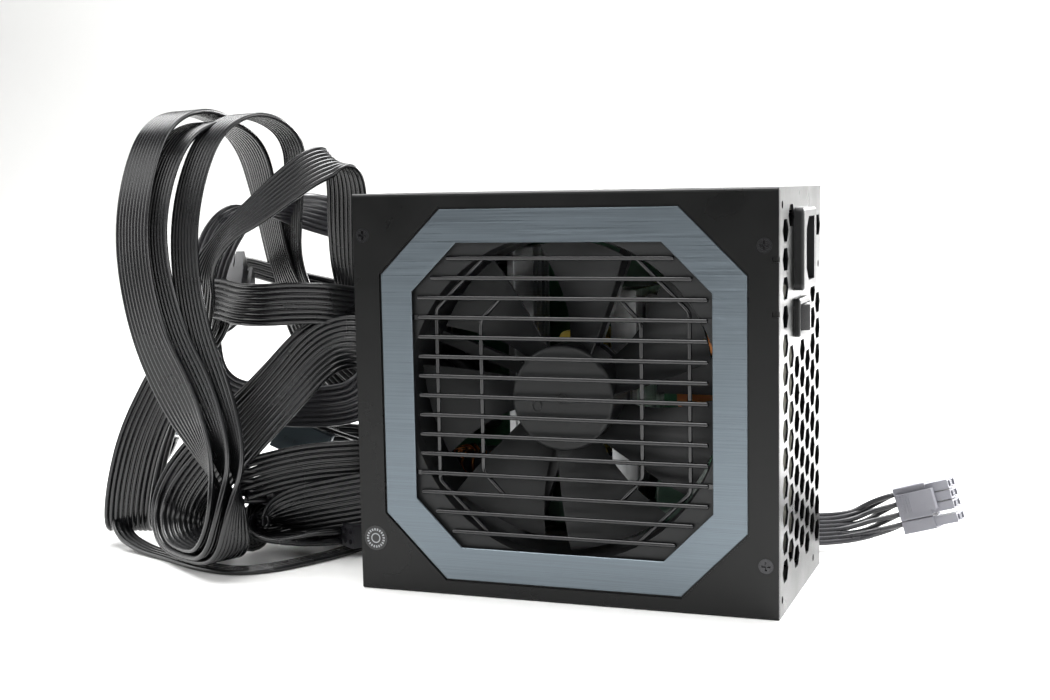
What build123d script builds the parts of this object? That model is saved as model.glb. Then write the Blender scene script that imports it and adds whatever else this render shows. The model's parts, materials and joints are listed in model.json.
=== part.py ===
"""ATX power supply unit: folded steel case, grille, fan, rear panel fittings, inner circuit and output cables.

Frame: the case stands on its 160 x 86 mm side. The origin is at the middle of that side, +X runs along the fan
face towards the rear (mains) panel, +Y runs from the fan face into the case, and +Z is up. Millimetres.
"""
import math
import os

from build123d import *

os.makedirs("parts", exist_ok=True)

# Case
CASE_X, CASE_Y, CASE_Z = 160.0, 86.0, 150.0
SHEET = 0.8
BEND = 1.2
HALF_X, HALF_Y = CASE_X / 2, CASE_Y / 2
MID_Z = CASE_Z / 2
FACE_Y = -HALF_Y
COVER_BACK_Y = FACE_Y + SHEET
FLANGE_REACH = 8.0

# Fan opening, trim ring and the pan that the ring lies in
OPENING, OPENING_CHAMFER = 113.5, 18.0
RING, RING_CHAMFER = 138.0, 24.0
RING_GAP = 0.7
PAN_DEPTH = 0.7
PAN_BACK_Y = FACE_Y + PAN_DEPTH + SHEET

# Wire grille
BAR_R, SUPPORT_R = 0.85, 0.8
BAR_COUNT, BAR_PITCH = 15, 7.29
BAR_LENGTHS = {0: 86.0, 1: 99.0}
BAR_LENGTH = 110.0
BAR_Y = FACE_Y + 1.6
SUPPORT_Y = BAR_Y + BAR_R + SUPPORT_R - 0.15
LUG_BAR = 3

# Fan, 120 x 120 x 25
FAN_SIZE, FAN_DEPTH = 120.0, 25.0
LUG_THICK = 1.0
FAN_FRONT_Y = PAN_BACK_Y + LUG_THICK
FAN_BACK_Y = FAN_FRONT_Y + FAN_DEPTH
FAN_BORE_R, FAN_MOUTH_R, MOUTH_DEPTH = 58.6, 59.7, 4.0
FAN_HOLE = 52.5
FAN_HOLE_R = 2.2
FLANGE_THICK = 4.0
HUB_R, HUB_WALL = 19.5, 1.5
HUB_FACE_Y = FAN_FRONT_Y + 2.5
HUB_BACK_Y = HUB_FACE_Y + 17.0
BLADES = 7
BLADE_TIP_R = 56.6
FIRST_BLADE_DEG = 80.0
SHAFT_R, BEARING_GAP = 1.5, 0.04
MOTOR_PLATE_Y = FAN_BACK_Y - 2.5

# Circuit board and its parts
BOARD_X, BOARD_Z = (-74.0, 56.0), (8.0, 142.0)
BOARD_Y = (36.4, 38.0)
STANDOFF_AT = [(-68.0, 14.0), (-68.0, 136.0), (50.0, 14.0), (50.0, 136.0)]
BACK_IN_Y = HALF_Y - SHEET
LINING_Y = BACK_IN_Y - 0.4

# Rear panel
REAR_IN_X = HALF_X - SHEET
THREAD_R, THREAD_LENGTH = 1.4, 2.4
MOUNT_HOLES = [(-37.0, 144.0), (-37.0, 6.0), (37.0, 120.0), (27.0, 6.0)]
VENT_PITCH_Z = 10.0
VENT_HALF_Y, VENT_FLAT_Y, VENT_HALF_Z = 5.5, 2.9, 3.9
# Each column of vents: its y, its lowest z and the rows it has
VENT_COLUMNS = [
    (-31.0, 15.0, list(range(13))),
    (-20.0, 20.0, list(range(8)) + [12]),
    (-8.7, 15.0, list(range(8))),
    (2.4, 20.0, list(range(8))),
    (13.5, 15.0, list(range(8))),
    (24.6, 20.0, list(range(10))),
    (35.7, 15.0, list(range(10)) + [12]),
]
INLET_Y, INLET_Z = -1.5, 127.8
INLET_BEZEL = (27.0, 29.6, 3.6)
INLET_BODY = (20.0, 26.0)
SOCKET = (16.5, 23.0)
SOCKET_CHAMFER = 4.5
SOCKET_FLOOR_X = 68.0
SWITCH_Y, SWITCH_Z = -4.0, 103.2
SWITCH_BEZEL = (21.0, 13.8, 2.2)
SWITCH_BODY = (19.4, 12.0)
ROCKER_R, ROCKER_HALF_Z, ROCKER_GAP = 8.8, 4.6, 0.3
ROCKER_PIVOT_X = 78.8
ROCKER_TILT = 9.0
ROCKER_PIN_R = 1.2

# Cover screws, at their x and z
COVER_SCREWS = [(-76.1, 134.6), (75.0, 130.4), (75.4, 19.1), (-74.0, 19.8)]
SCREW_HEAD_R, SCREW_SHANK_R = 2.65, 1.35

# Cable outlet
OUTLET_Y, OUTLET_Z = 12.0, 90.0
OUTLET_HOLE = (24.0, 34.0)
GROMMET_WALL, GROMMET_LIP = 2.0, 3.0


def block(x, y, z):
    """A box given by its low and high values on each axis."""
    middle = [(low + high) / 2 for low, high in (x, y, z)]
    return Pos(*middle) * Box(x[1] - x[0], y[1] - y[0], z[1] - z[0])


def rod_x(y, z, radius, x0, x1):
    return Pos((x0 + x1) / 2, y, z) * Rot(0, 90, 0) * Cylinder(radius, x1 - x0)


def rod_y(x, z, radius, y0, y1):
    return Pos(x, (y0 + y1) / 2, z) * Rot(-90, 0, 0) * Cylinder(radius, y1 - y0)


def rod_z(x, y, radius, z0, z1):
    return Pos(x, y, (z0 + z1) / 2) * Cylinder(radius, z1 - z0)


def cone_y(x, z, radius0, radius1, y0, y1):
    """A cone along Y, radius0 at y0 and radius1 at y1."""
    return Pos(x, (y0 + y1) / 2, z) * Rot(-90, 0, 0) * Cone(radius0, radius1, y1 - y0)


def prism_y(sketch, y0, y1):
    """A sketch drawn as (x, z), made solid from y0 to y1."""
    return extrude(Plane.XZ.offset(-y1) * sketch, amount=y1 - y0)


def prism_x(sketch, x0, x1):
    """A sketch drawn as (y, z), made solid from x0 to x1."""
    return extrude(Plane.YZ.offset(x0) * sketch, amount=x1 - x0)


def octagon(size, chamfer_size):
    """A square with its corners cut off, centred on the fan."""
    return Pos(0, MID_Z) * chamfer(Rectangle(size, size).vertices(), chamfer_size)


def bend_radii(points):
    """The largest arc that each corner's two runs allow."""
    radii = []
    for before, here, after in zip(points, points[1:], points[2:]):
        run_in, run_out = Vector(*here) - Vector(*before), Vector(*after) - Vector(*here)
        half_turn = math.radians(run_in.get_angle(run_out)) / 2
        radii.append(0.45 * min(run_in.length, run_out.length) / math.tan(half_turn))
    return radii


def tube(points, radius):
    """A round cord or lead along straight runs and tangent arcs."""
    path = FilletPolyline(*points, radius=bend_radii(points))
    return sweep(Plane(origin=path @ 0, z_dir=path % 0) * Circle(radius), path=path)


# ---------------------------------------------------------------- case

def screw_countersink(x, z, clearance):
    """The space of a flat-headed cover screw, grown by a clearance."""
    head_depth = 1.2
    head = cone_y(x, z, SCREW_HEAD_R + clearance, SCREW_SHANK_R + clearance, FACE_Y, FACE_Y + head_depth)
    return head + rod_y(x, z, SCREW_SHANK_R + clearance, FACE_Y + head_depth - 0.1, FACE_Y + 7.0)


def fan_cover():
    outer = block((-HALF_X, HALF_X), (FACE_Y, HALF_Y), (0, CASE_Z))
    outer = fillet(outer.edges().filter_by(Axis.X).group_by(Axis.Y)[0], BEND)
    inner = block((-HALF_X - 1, HALF_X + 1), (COVER_BACK_Y, HALF_Y + 1), (SHEET, CASE_Z - SHEET))
    inner = fillet(inner.edges().filter_by(Axis.X).group_by(Axis.Y)[0], BEND - SHEET)
    cover = outer - inner
    recess = RING + 2 * RING_GAP
    cover += prism_y(octagon(recess + 2 * SHEET, RING_CHAMFER + SHEET), FACE_Y + PAN_DEPTH, PAN_BACK_Y)
    cover -= prism_y(octagon(recess, RING_CHAMFER + 0.4), FACE_Y - 1, FACE_Y + PAN_DEPTH)
    cover -= prism_y(octagon(OPENING + 0.8, OPENING_CHAMFER + 0.2), FACE_Y - 1, PAN_BACK_Y + 1)
    for x, z in COVER_SCREWS:
        cover -= screw_countersink(x, z, 0.08)
    for x, z in fan_corners():
        cover -= fan_screw_space(x, z, 0.08)
    for z in (106.8, 125.5):
        cover -= block((HALF_X - 2.4, HALF_X + 1), (FACE_Y - 1, COVER_BACK_Y + 0.01), (z - 0.9, z + 0.9))
    return cover


def vent(y, z):
    right = [(VENT_HALF_Y, 0), (VENT_FLAT_Y, VENT_HALF_Z)]
    left = [(-VENT_FLAT_Y, VENT_HALF_Z), (-VENT_HALF_Y, 0)]
    low = [(-VENT_FLAT_Y, -VENT_HALF_Z), (VENT_FLAT_Y, -VENT_HALF_Z)]
    return Pos(y, z) * make_face(Polyline(*right, *left, *low, close=True))


def base_shell():
    """Back plate and the two end panels in one folded sheet, with flanges that the cover screws to."""
    outer = block((-HALF_X, HALF_X), (COVER_BACK_Y, HALF_Y), (SHEET, CASE_Z - SHEET))
    outer = fillet(outer.edges().filter_by(Axis.Z), BEND)
    inner = block((-REAR_IN_X, REAR_IN_X), (COVER_BACK_Y + SHEET, BACK_IN_Y), (0, CASE_Z))
    inner = fillet(inner.edges().filter_by(Axis.Z), BEND - SHEET)
    window_x = REAR_IN_X - FLANGE_REACH
    shell = outer - inner
    shell -= block((-window_x, window_x), (COVER_BACK_Y - 1, COVER_BACK_Y + 2), (0, CASE_Z))
    for low in (SHEET, CASE_Z - SHEET - 0.5):
        shell -= block((-HALF_X, HALF_X), (COVER_BACK_Y - 1, COVER_BACK_Y + 0.6), (low, low + 0.5))
    lip_y = (BACK_IN_Y - 12.0, BACK_IN_Y)
    for low in (SHEET, CASE_Z - 2 * SHEET):
        shell += block((-REAR_IN_X, REAR_IN_X), lip_y, (low, low + SHEET))
    for x, z in COVER_SCREWS:
        shell -= screw_countersink(x, z, 0.08)
    vents = Sketch() + [
        vent(y, low + VENT_PITCH_Z * row) for y, low, rows in VENT_COLUMNS for row in rows
    ]
    shell -= prism_x(vents, REAR_IN_X - 1, HALF_X + 1)
    for y, z in MOUNT_HOLES:
        shell += rod_x(y, z, THREAD_R + 1.0, HALF_X - THREAD_LENGTH, HALF_X)
        shell -= rod_x(y, z, THREAD_R, HALF_X - THREAD_LENGTH - 1, HALF_X + 1)
    cutouts = [
        (INLET_Y, INLET_Z, INLET_BODY, 1.0),
        (SWITCH_Y, SWITCH_Z, SWITCH_BODY, 1.0),
    ]
    for y, z, size, corner in cutouts:
        hole = Pos(y, z) * RectangleRounded(size[0] + 0.4, size[1] + 0.4, corner)
        shell -= prism_x(hole, REAR_IN_X - 1, HALF_X + 1)
    outlet = Pos(OUTLET_Y, OUTLET_Z) * RectangleRounded(*OUTLET_HOLE, 7.0)
    shell -= prism_x(outlet, -HALF_X - 1, -REAR_IN_X + 1)
    return shell


def trim_ring():
    ring = prism_y(octagon(RING, RING_CHAMFER) - octagon(OPENING, OPENING_CHAMFER), FACE_Y + 0.05, FACE_Y + PAN_DEPTH)
    front_edges = ring.edges().group_by(Axis.Y)[0]
    return chamfer(front_edges, 0.2)


def cover_screw(x, z):
    head = screw_countersink(x, z, 0.0)
    cross = block((x - 1.6, x + 1.6), (FACE_Y - 1, FACE_Y + 0.8), (z - 0.4, z + 0.4))
    cross += block((x - 0.4, x + 0.4), (FACE_Y - 1, FACE_Y + 0.8), (z - 1.6, z + 1.6))
    return head - cross


def seal_sticker():
    x, z = COVER_SCREWS[3]
    return rod_y(x, z, 4.7, FACE_Y - 0.12, FACE_Y)


# ---------------------------------------------------------------- grille

def bar_z(index):
    return MID_Z + BAR_PITCH * (BAR_COUNT - 1) / 2 - BAR_PITCH * index


def grille_support(side, x, half_z, end_x, end_z):
    """A support wire behind the bars: upright, with both ends bent in at 45 degrees."""
    points = [
        (side * end_x, SUPPORT_Y, MID_Z + end_z),
        (side * x, SUPPORT_Y, MID_Z + half_z),
        (side * x, SUPPORT_Y, MID_Z - half_z),
        (side * end_x, SUPPORT_Y, MID_Z - end_z),
    ]
    path = FilletPolyline(*points, radius=4.0)
    return sweep(Plane(origin=path @ 0, z_dir=path % 0) * Circle(SUPPORT_R), path=path)


def wire_grille():
    parts = []
    for index in range(BAR_COUNT):
        from_end = min(index, BAR_COUNT - 1 - index)
        half = BAR_LENGTHS.get(from_end, BAR_LENGTH) / 2
        z = bar_z(index)
        bar = rod_x(BAR_Y, z, BAR_R, -half, half)
        parts.append(fillet(bar.edges(), BAR_R * 0.6))
    for side in (-1, 1):
        parts.append(grille_support(side, 48.0, 32.0, 29.5, 50.5))
        parts.append(grille_support(side, 30.5, 28.0, 22.5, 36.5))
        for index in (LUG_BAR, BAR_COUNT - 1 - LUG_BAR):
            z = bar_z(index)
            lug_y = (PAN_BACK_Y, PAN_BACK_Y + LUG_THICK)
            parts.append(block(sorted((side * 48.0, side * 59.0)), lug_y, (z - BAR_R, z + BAR_R)))
            parts.append(block(sorted((side * 58.0, side * 66.0)), lug_y, (z - 4.0, z + 4.0)))
    return parts[0].fuse(*parts[1:])


# ---------------------------------------------------------------- fan

def fan_corners():
    return [(x, MID_Z + z) for x in (-FAN_HOLE, FAN_HOLE) for z in (-FAN_HOLE, FAN_HOLE)]


def fan_screw_space(x, z, clearance):
    head_y = FACE_Y + PAN_DEPTH
    head = cone_y(x, z, 3.2 + clearance, FAN_HOLE_R - 0.1 + clearance, head_y, PAN_BACK_Y)
    return head + rod_y(x, z, FAN_HOLE_R - 0.1 + clearance, PAN_BACK_Y - 0.1, PAN_BACK_Y + 9.0)


def fan_screw(x, z):
    head_y = FACE_Y + PAN_DEPTH
    cross = block((x - 1.9, x + 1.9), (head_y - 1, head_y + 0.5), (z - 0.45, z + 0.45))
    cross += block((x - 0.45, x + 0.45), (head_y - 1, head_y + 0.5), (z - 1.9, z + 1.9))
    return fan_screw_space(x, z, 0.0) - cross


def fan_frame():
    square = Pos(0, MID_Z) * RectangleRounded(FAN_SIZE, FAN_SIZE, 5.0)
    body = prism_y(square, FAN_FRONT_Y, FAN_BACK_Y)
    waist = prism_y(square, FAN_FRONT_Y + FLANGE_THICK, FAN_BACK_Y - FLANGE_THICK)
    body -= waist - rod_y(0, MID_Z, FAN_BORE_R + 1.6, FAN_FRONT_Y, FAN_BACK_Y)
    body -= rod_y(0, MID_Z, FAN_BORE_R, FAN_FRONT_Y - 1, FAN_BACK_Y + 1)
    body -= cone_y(0, MID_Z, FAN_MOUTH_R, FAN_BORE_R, FAN_FRONT_Y - 0.01, FAN_FRONT_Y + MOUTH_DEPTH)
    for x, z in fan_corners():
        body -= rod_y(x, z, FAN_HOLE_R, FAN_FRONT_Y - 1, FAN_BACK_Y + 1)
    body += rod_y(0, MID_Z, 20.0, MOTOR_PLATE_Y, FAN_BACK_Y)
    for turn in (20, 110, 200, 290):
        strut = block((17.0, FAN_BORE_R + 0.8), (FAN_BACK_Y - 4.0, FAN_BACK_Y), (-2.2, 2.2))
        body += Pos(0, 0, MID_Z) * Rot(0, turn, 0) * strut
    body += rod_y(0, MID_Z, 4.6, MOTOR_PLATE_Y - 12.0, MOTOR_PLATE_Y + 0.5)
    return body - rod_y(0, MID_Z, 3.2, MOTOR_PLATE_Y - 13.0, MOTOR_PLATE_Y + 1.0)


def blade_section(radius, turn, width, height, thickness):
    """One cross-section of a blade: a thin arched profile that leans from the front edge to the back edge."""
    front = Vector(width / 2, -height / 2)
    back = Vector(-width / 2, height / 2)
    normal = (back - front).rotate(Axis.Z, 90).normalized()
    arch = 0.08 * (back - front).length
    edge = normal * thickness * 0.3
    upper = ThreePointArc(front + edge, normal * (arch + thickness / 2), back + edge)
    lower = ThreePointArc(back, normal * (arch - thickness / 2), front)
    outline = [upper, Line(upper @ 1, lower @ 0), lower, Line(lower @ 1, upper @ 0)]
    angle = math.radians(turn)
    outward = Vector(math.cos(angle), 0, math.sin(angle))
    sideways = Vector(-math.sin(angle), 0, math.cos(angle))
    middle_y = (HUB_FACE_Y + HUB_BACK_Y) / 2 - 0.5
    origin = outward * radius + Vector(0, middle_y, MID_Z)
    return Plane(origin=origin, x_dir=sideways, z_dir=outward) * make_face(outline)


def fan_blade(turn):
    # radius, sweep in degrees, width round the axis, depth along it, thickness
    shape = [(17.2, -4.0, 12.5, 14.0, 2.0), (30.0, -2.0, 18.0, 14.0, 1.7), (44.0, 2.0, 28.0, 13.0, 1.5),
             (59.0, 6.0, 40.0, 12.0, 1.3)]
    sections = [blade_section(radius, turn + lean, width, depth, thick) for radius, lean, width, depth, thick in shape]
    return loft(sections)


def fan_rotor():
    cup = rod_y(0, MID_Z, HUB_R, HUB_FACE_Y, HUB_BACK_Y)
    cup = fillet(cup.edges().group_by(Axis.Y)[0], 1.4)
    cup -= rod_y(0, MID_Z, HUB_R - HUB_WALL, HUB_FACE_Y + 2.0, HUB_BACK_Y + 1)
    cup += rod_y(0, MID_Z, 3.2, HUB_FACE_Y + 1.5, HUB_FACE_Y + 3.4)
    cup -= rod_y(0, MID_Z, SHAFT_R, HUB_FACE_Y + 1.0, HUB_FACE_Y + 4.0)
    for x, z in ((0, MID_Z), (-9.5, MID_Z - 3.0)):
        cup -= rod_y(x, z, 2.0, HUB_FACE_Y - 1, HUB_FACE_Y + 0.35) - rod_y(x, z, 1.5, HUB_FACE_Y - 1, HUB_FACE_Y + 1)
    sweep_zone = rod_y(0, MID_Z, BLADE_TIP_R, HUB_FACE_Y, HUB_BACK_Y)
    sweep_zone -= rod_y(0, MID_Z, HUB_R - HUB_WALL + 0.4, HUB_FACE_Y - 1, HUB_BACK_Y + 1)
    blades = [fan_blade(FIRST_BLADE_DEG + index * 360 / BLADES) & sweep_zone for index in range(BLADES)]
    return cup.fuse(*blades)


def fan_magnet_ring():
    outer_r = HUB_R - HUB_WALL
    span = (HUB_FACE_Y + 4.5, HUB_BACK_Y - 1.0)
    return rod_y(0, MID_Z, outer_r, *span) - rod_y(0, MID_Z, outer_r - 2.2, span[0] - 1, span[1] + 1)


def fan_shaft():
    shaft = rod_y(0, MID_Z, SHAFT_R, HUB_FACE_Y + 1.0, MOTOR_PLATE_Y + 0.6)
    return shaft - (rod_y(0, MID_Z, SHAFT_R + 1, MOTOR_PLATE_Y - 1.2, MOTOR_PLATE_Y - 0.6)
                    - rod_y(0, MID_Z, SHAFT_R - 0.4, MOTOR_PLATE_Y - 2, MOTOR_PLATE_Y))


def fan_bearing():
    span = (MOTOR_PLATE_Y - 11.5, MOTOR_PLATE_Y - 1.5)
    sleeve = rod_y(0, MID_Z, 3.2, *span)
    return sleeve - rod_y(0, MID_Z, SHAFT_R + BEARING_GAP, span[0] - 1, span[1] + 1)


def fan_stator():
    """Laminated core: a ring round the bearing tube, with four T-shaped poles."""
    span = (MOTOR_PLATE_Y - 9.0, MOTOR_PLATE_Y - 4.0)
    core = rod_y(0, MID_Z, 6.6, *span)
    rim = rod_y(0, MID_Z, 14.8, *span) - rod_y(0, MID_Z, 13.2, span[0] - 1, span[1] + 1)
    for turn in (0, 90, 180, 270):
        core += Pos(0, 0, MID_Z) * Rot(0, turn, 0) * block((5.5, 14.0), span, (-1.6, 1.6))
        shoe = Pos(0, 0, MID_Z) * Rot(0, turn, 0) * block((10.0, 16.0), span, (-7.5, 7.5))
        core += rim & shoe
    return core - rod_y(0, MID_Z, 4.6, span[0] - 1, span[1] + 1)


def fan_windings():
    span = (MOTOR_PLATE_Y - 10.4, MOTOR_PLATE_Y - 2.6)
    coil = block((7.2, 12.4), span, (-3.4, 3.4))
    coil = fillet(coil.edges().filter_by(Axis.X), 1.2)
    coil -= block((7.0, 13.0), (span[0] + 1.4, span[1] - 1.4), (-1.6, 1.6))
    return [Pos(0, 0, MID_Z) * Rot(0, turn, 0) * coil for turn in (0, 90, 180, 270)]


def fan_circuit_board():
    plate = rod_y(0, MID_Z, 16.0, MOTOR_PLATE_Y - 2.4, MOTOR_PLATE_Y - 1.2)
    return plate - rod_y(0, MID_Z, 4.6, MOTOR_PLATE_Y - 3, MOTOR_PLATE_Y)


# ---------------------------------------------------------------- circuit board and its parts

def main_board():
    board = block(BOARD_X, BOARD_Y, BOARD_Z)
    for x, z in STANDOFF_AT:
        board -= rod_y(x, z, 1.6, BOARD_Y[0] - 1, BOARD_Y[1] + 1)
    return board


def insulation_sheet():
    sheet = block((-77.0, 70.0), (LINING_Y, BACK_IN_Y), (4.0, 146.0))
    for x, z in STANDOFF_AT:
        sheet -= rod_y(x, z, 3.2, LINING_Y - 1, BACK_IN_Y + 1)
    return sheet


def board_standoffs():
    posts = []
    for x, z in STANDOFF_AT:
        hexagon = Pos(x, z) * RegularPolygon(2.9, 6)
        posts.append(prism_y(hexagon, BOARD_Y[1], BACK_IN_Y) - rod_y(x, z, 1.25, BOARD_Y[1] - 1, BACK_IN_Y - 0.6))
    return posts


def board_screws():
    screws = []
    for x, z in STANDOFF_AT:
        head = rod_y(x, z, 2.9, BOARD_Y[0] - 2.0, BOARD_Y[0])
        head = fillet(head.edges().group_by(Axis.Y)[0], 0.8)
        head += rod_y(x, z, 1.2, BOARD_Y[0] - 0.5, BOARD_Y[1] + 3.0)
        cross = block((x - 1.5, x + 1.5), (BOARD_Y[0] - 3, BOARD_Y[0] - 1.0), (z - 0.35, z + 0.35))
        cross += block((x - 0.35, x + 0.35), (BOARD_Y[0] - 3, BOARD_Y[0] - 1.0), (z - 1.5, z + 1.5))
        screws.append(head - cross)
    return screws


def heatsink(x, z0, z1, fin_side, height):
    """An upright aluminium plate along Z, with fins on one side and its foot on the board."""
    top_y = BOARD_Y[0] - height
    plate = block((x - 1.25, x + 1.25), (top_y, BOARD_Y[0]), (z0, z1))
    fins = 5
    for index in range(fins):
        y = top_y + 1.0 + index * 4.5
        reach = sorted((x, x + fin_side * 9.0))
        plate += block(reach, (y, y + 1.2), (z0, z1))
    return plate


def transistor(x, z, side, body_y):
    """A flat power transistor on a heatsink's plain side, with three legs down to the board."""
    near, far = sorted((x, x + side * 4.4))
    body = block((near, far), (body_y, body_y + 16.0), (z - 5.0, z + 5.0))
    body = chamfer(body.edges().filter_by(Axis.Y), 0.6)
    middle = (near + far) / 2
    for leg in (-2.5, 0, 2.5):
        body += block((middle - 0.3, middle + 0.3), (body_y + 15.5, BOARD_Y[0]), (z + leg - 0.4, z + leg + 0.4))
    return body


def wound_core(x, z, size_x, size_z, height):
    """A ferrite core of two E halves, and the winding round its middle leg, on the board."""
    yoke = 6.0
    leg_r = 5.5
    top = BOARD_Y[0] - height
    span_y = (top, BOARD_Y[0] - 1.0)
    window_y = (top + yoke, BOARD_Y[0] - 1.0 - yoke)
    half_x = size_x / 2
    core = block((x - half_x, x + half_x), span_y, (z - 7.0, z + 7.0))
    core -= block((x - half_x + yoke, x + half_x - yoke), window_y, (z - 8.0, z + 8.0))
    core += rod_y(x, z, leg_r, window_y[0] - 0.5, window_y[1] + 0.5)
    reach = half_x - yoke - 0.3
    winding = block((x - reach, x + reach), (window_y[0] + 0.2, window_y[1] - 0.2), (z - size_z / 2, z + size_z / 2))
    winding = fillet(winding.edges().filter_by(Axis.Y), 3.0)
    winding -= rod_y(x, z, leg_r + 0.3, window_y[0] - 1, window_y[1] + 1)
    return core, winding


def capacitor(x, z, radius, height):
    """An electrolytic can with a pinched groove near its foot."""
    top = BOARD_Y[0] - height
    can = rod_y(x, z, radius, top, BOARD_Y[0])
    can = fillet(can.edges().group_by(Axis.Y)[0], radius * 0.12)
    groove_y = BOARD_Y[0] - 3.0
    groove = rod_y(x, z, radius + 1, groove_y - 0.5, groove_y + 0.5)
    groove -= rod_y(x, z, radius * 0.94, groove_y - 1, groove_y + 1)
    score = block((x - radius * 0.7, x + radius * 0.7), (top - 1, top + 0.25), (z - 0.3, z + 0.3))
    score += block((x - 0.3, x + 0.3), (top - 1, top + 0.25), (z - radius * 0.7, z + radius * 0.7))
    return can - groove - score


def output_capacitors():
    places = [(-19.0, 22.0, 5.0), (-31.5, 14.5, 5.0), (-59.0, 112.0, 5.0), (-48.0, 112.0, 5.0), (-59.0, 124.0, 5.0),
              (-48.0, 124.0, 5.0), (-59.0, 135.0, 4.0), (-49.0, 135.0, 4.0)]
    return [capacitor(x, z, radius, 25.0 if radius > 4.5 else 18.0) for x, z, radius in places]


def toroid(x, z, ring_r, section):
    """A ring core standing on the board, its axis along Z."""
    y = BOARD_Y[0] - ring_r - section - 2.0
    return Pos(x, y, z) * Torus(ring_r, section)


def toroid_turns(x, z, ring_r, section, turns, wire_r):
    """Separate turns of wire round a standing ring core, open at the foot where the leads leave it."""
    y = BOARD_Y[0] - ring_r - section - 2.0
    rounds = []
    for index in range(turns):
        turn = 120.0 + 300.0 * index / (turns - 1)
        rounds.append(Pos(x, y, z) * Rot(0, 0, turn) * Pos(ring_r, 0, 0) * Rot(90, 0, 0) * Torus(section + wire_r, wire_r))
    return rounds


def x_capacitor():
    body = block((20.0, 38.0), (BOARD_Y[0] - 17.0, BOARD_Y[0]), (126.0, 138.0))
    return fillet(body.edges().group_by(Axis.Y)[0], 1.0)


def bridge_rectifier():
    body = block((19.3, 23.8), (6.0, 26.0), (82.0, 110.0))
    body = chamfer(body.edges().filter_by(Axis.Y), 0.8)
    for z in (86.0, 93.0, 99.0, 106.0):
        body += block((21.2, 22.0), (25.5, BOARD_Y[0]), (z - 0.6, z + 0.6))
    return body


# ---------------------------------------------------------------- mains inlet and switch

def socket_outline(grow):
    """The inlet's socket, drawn as (y, z): two of its corners are cut off, on the earth pin's side."""
    half_y, half_z = SOCKET[0] / 2 + grow, SOCKET[1] / 2 + grow
    cut = SOCKET_CHAMFER
    points = [(half_y, -half_z), (half_y, half_z), (-half_y + cut, half_z), (-half_y, half_z - cut),
              (-half_y, -half_z + cut), (-half_y + cut, -half_z)]
    return Pos(INLET_Y, INLET_Z) * make_face(Polyline(*points, close=True))


def pin_places():
    """Live, neutral and earth, as (y, z)."""
    return [(INLET_Y + 2.0, INLET_Z - 7.0), (INLET_Y + 2.0, INLET_Z + 7.0), (INLET_Y - 2.0, INLET_Z)]


def ac_inlet():
    bezel = prism_x(Pos(INLET_Y, INLET_Z) * RectangleRounded(INLET_BEZEL[0], INLET_BEZEL[1], 2.5),
                    HALF_X, HALF_X + INLET_BEZEL[2])
    bezel = fillet(bezel.edges().group_by(Axis.X)[-1], 1.2)
    body = prism_x(Pos(INLET_Y, INLET_Z) * RectangleRounded(*INLET_BODY, 1.0), SOCKET_FLOOR_X - 3.0, HALF_X)
    for z in (INLET_Z - INLET_BODY[1] / 2, INLET_Z + INLET_BODY[1] / 2):
        body += block((REAR_IN_X - 4.0, REAR_IN_X - 0.3), (INLET_Y - 3.0, INLET_Y + 3.0), (z - 0.7, z + 0.7))
    housing = bezel + body - prism_x(socket_outline(0), SOCKET_FLOOR_X, HALF_X + 5)
    for y, z in pin_places():
        housing -= block((SOCKET_FLOOR_X - 4, SOCKET_FLOOR_X + 1), (y - 2.0, y + 2.0), (z - 1.0, z + 1.0))
    return housing


def inlet_pins():
    pins = []
    for y, z in pin_places():
        blade = block((SOCKET_FLOOR_X - 3.0, HALF_X + 1.5), (y - 2.0, y + 2.0), (z - 1.0, z + 1.0))
        blade = chamfer(blade.edges().group_by(Axis.X)[-1], 0.5)
        blade += block((SOCKET_FLOOR_X - 11.0, SOCKET_FLOOR_X - 3.0), (y - 2.4, y + 2.4), (z - 0.4, z + 0.4))
        pins.append(blade)
    return pins


def switch_housing():
    bezel = prism_x(Pos(SWITCH_Y, SWITCH_Z) * RectangleRounded(SWITCH_BEZEL[0], SWITCH_BEZEL[1], 1.5),
                    HALF_X, HALF_X + SWITCH_BEZEL[2])
    bezel = fillet(bezel.edges().group_by(Axis.X)[-1], 0.8)
    body = prism_x(Pos(SWITCH_Y, SWITCH_Z) * RectangleRounded(*SWITCH_BODY, 1.0), HALF_X - 15.0, HALF_X)
    half_y, half_z = ROCKER_R + ROCKER_GAP, ROCKER_HALF_Z + ROCKER_GAP
    well = block((HALF_X - 12.0, HALF_X + 5), (SWITCH_Y - half_y, SWITCH_Y + half_y),
                 (SWITCH_Z - half_z, SWITCH_Z + half_z))
    pivot = rod_z(ROCKER_PIVOT_X, SWITCH_Y, ROCKER_PIN_R + 0.06, SWITCH_Z - half_z - 0.8, SWITCH_Z + half_z + 0.8)
    housing = bezel + body - well - pivot
    for y in terminal_places():
        housing -= block((HALF_X - 16, HALF_X - 11), (y - 0.4, y + 0.4), (SWITCH_Z - 2.4, SWITCH_Z + 2.4))
    return housing


def terminal_places():
    return [SWITCH_Y - 5.5, SWITCH_Y, SWITCH_Y + 5.5]


def switch_terminals():
    return [block((HALF_X - 23.0, HALF_X - 11.5), (y - 0.4, y + 0.4), (SWITCH_Z - 2.4, SWITCH_Z + 2.4))
            for y in terminal_places()]


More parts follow.
